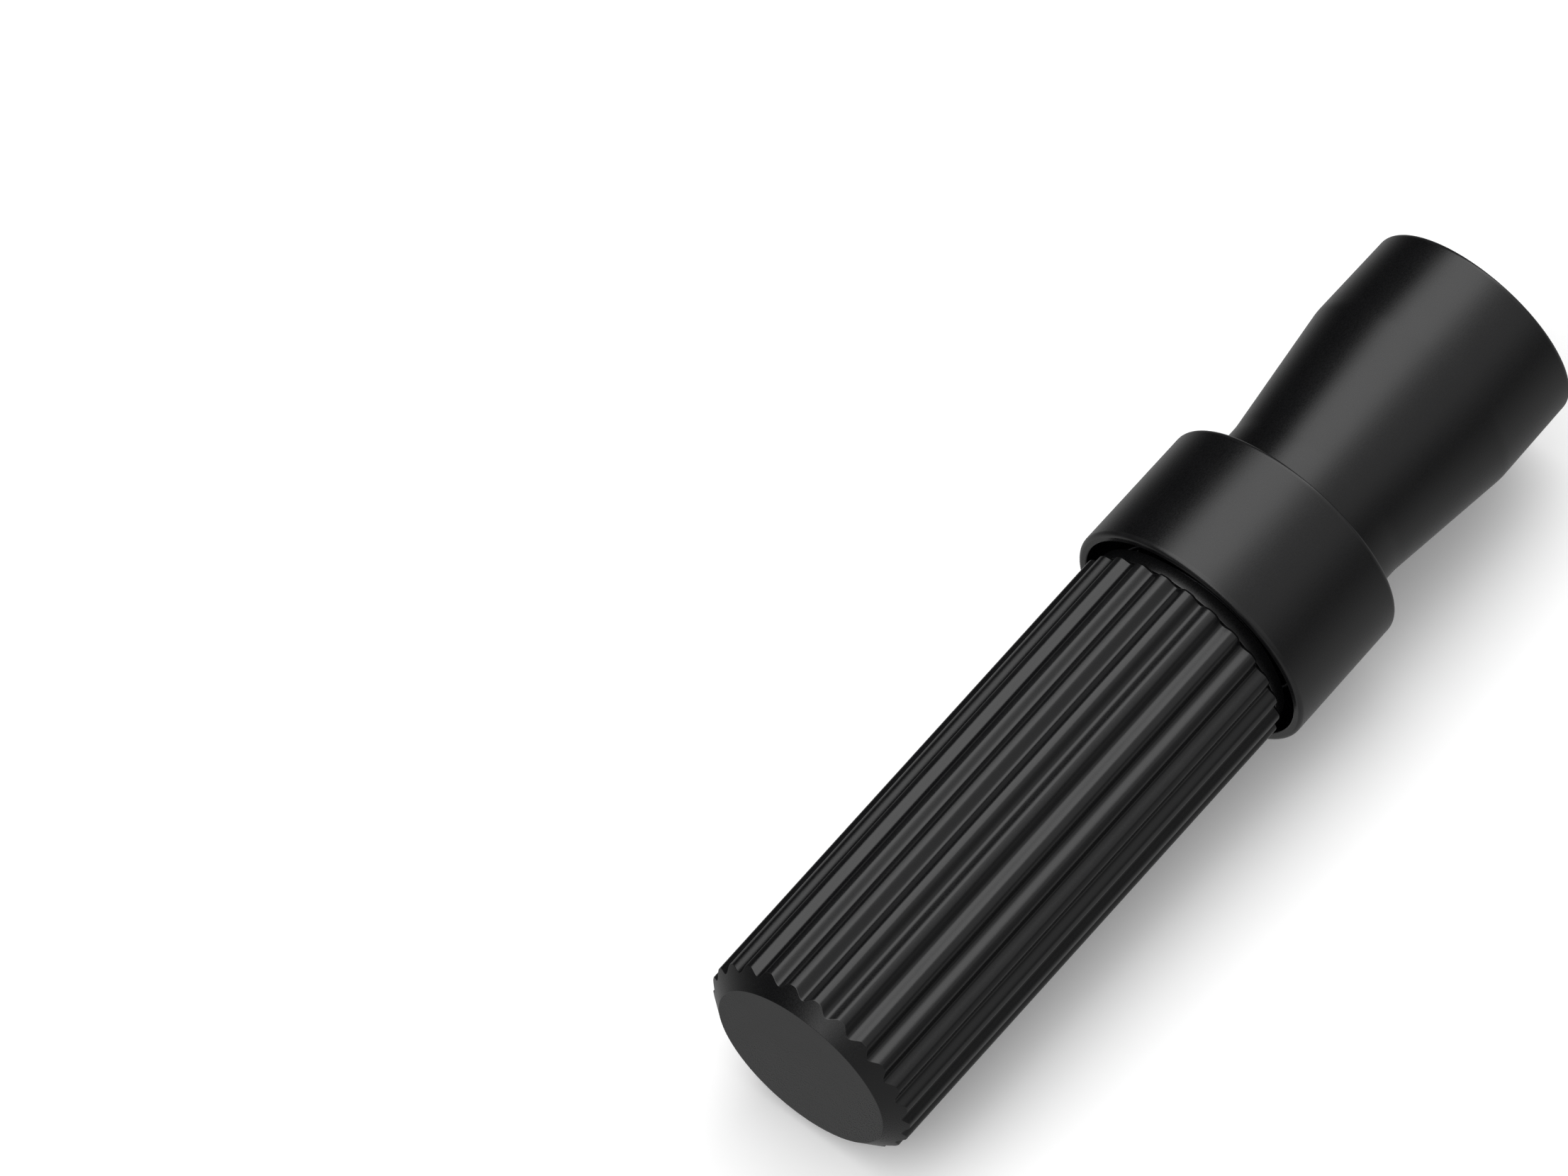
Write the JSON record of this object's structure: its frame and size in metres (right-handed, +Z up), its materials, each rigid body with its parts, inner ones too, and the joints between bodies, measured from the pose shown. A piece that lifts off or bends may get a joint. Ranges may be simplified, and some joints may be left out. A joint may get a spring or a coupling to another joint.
{
  "type": "spring bar tool",
  "caption": "Pocket spring bar tool: fluted cylindrical grip, spring-loaded quick-release collar, and a flared pull-off cap over a reversible fork and pin tip holder.",
  "frame": {"origin": "under the middle of the tool, on the surface that the collar touches", "axes": "+X along the tool's axis from the closed end of the grip to the cap, +Z up"},
  "size_m": [0.06, 0.0158, 0.0159],
  "materials": {
    "black_anodised": "fine bead-blasted black anodised aluminium, satin",
    "black_rubber": "matt nitrile rubber",
    "black_spring_steel": "phosphated spring steel",
    "polished_steel": "polished bearing steel",
    "turned_steel": "fine turned stainless steel",
    "hardened_steel": "ground hardened steel",
    "black_oxide_steel": "black oxide",
    "acetal": "turned natural acetal"
  },
  "bodies": {
    "tool_body": {"grip": "black_anodised", "body_oring": "black_rubber", "chuck_body": "black_anodised", "collar_spring": "black_spring_steel", "retaining_ring": "black_spring_steel", "tip_holder": "turned_steel", "fork_tip": "hardened_steel", "pin_tip": "hardened_steel", "tip_set_screws": "black_oxide_steel", "cap_oring": "black_rubber", "tip_rack": "acetal", "spare_fork_tips": "hardened_steel", "spare_pin_tips": "hardened_steel", "rack_cushion": "black_rubber"},
    "collar_carrier": {"thrust_washer": "black_spring_steel"},
    "collar_ring": {"collar": "black_anodised"},
    "ball_1": {"ball_1": "polished_steel"},
    "ball_2": {"ball_2": "polished_steel"},
    "ball_3": {"ball_3": "polished_steel"},
    "cap": {"cap": "black_anodised", "tip_cushion": "black_rubber"}
  },
  "joints": [
    {"name": "collar_slide", "type": "slide", "parent": "tool_body", "child": "collar_carrier", "axis": [1, 0, 0], "range_m": [-0.0018, 0], "stiffness_N_per_m": 1200, "springref_m": 0.0015, "deforming": ["collar_spring"]},
    {"name": "collar_spin", "type": "hinge", "parent": "collar_carrier", "child": "collar_ring", "pos_m": [0.0087, 0, 0.00795], "axis": [1, 0, 0], "continuous": true},
    {"name": "ball_1_lift", "type": "slide", "parent": "tool_body", "child": "ball_1", "axis": [0, 0, 1], "range_m": [0, 0.00051]},
    {"name": "ball_2_lift", "type": "slide", "parent": "tool_body", "child": "ball_2", "axis": [0, -0.866, -0.5], "range_m": [0, 0.00051]},
    {"name": "ball_3_lift", "type": "slide", "parent": "tool_body", "child": "ball_3", "axis": [0, 0.866, -0.5], "range_m": [0, 0.00051]},
    {"name": "cap_pull", "type": "slide", "parent": "tool_body", "child": "cap", "axis": [1, 0, 0], "range_m": [0, 0.02]}
  ],
  "couplings": [
    {"joint": "ball_1_lift", "follows": "collar_slide", "ratio": -0.27778},
    {"joint": "ball_2_lift", "follows": "collar_slide", "ratio": -0.27778},
    {"joint": "ball_3_lift", "follows": "collar_slide", "ratio": -0.27778}
  ]
}
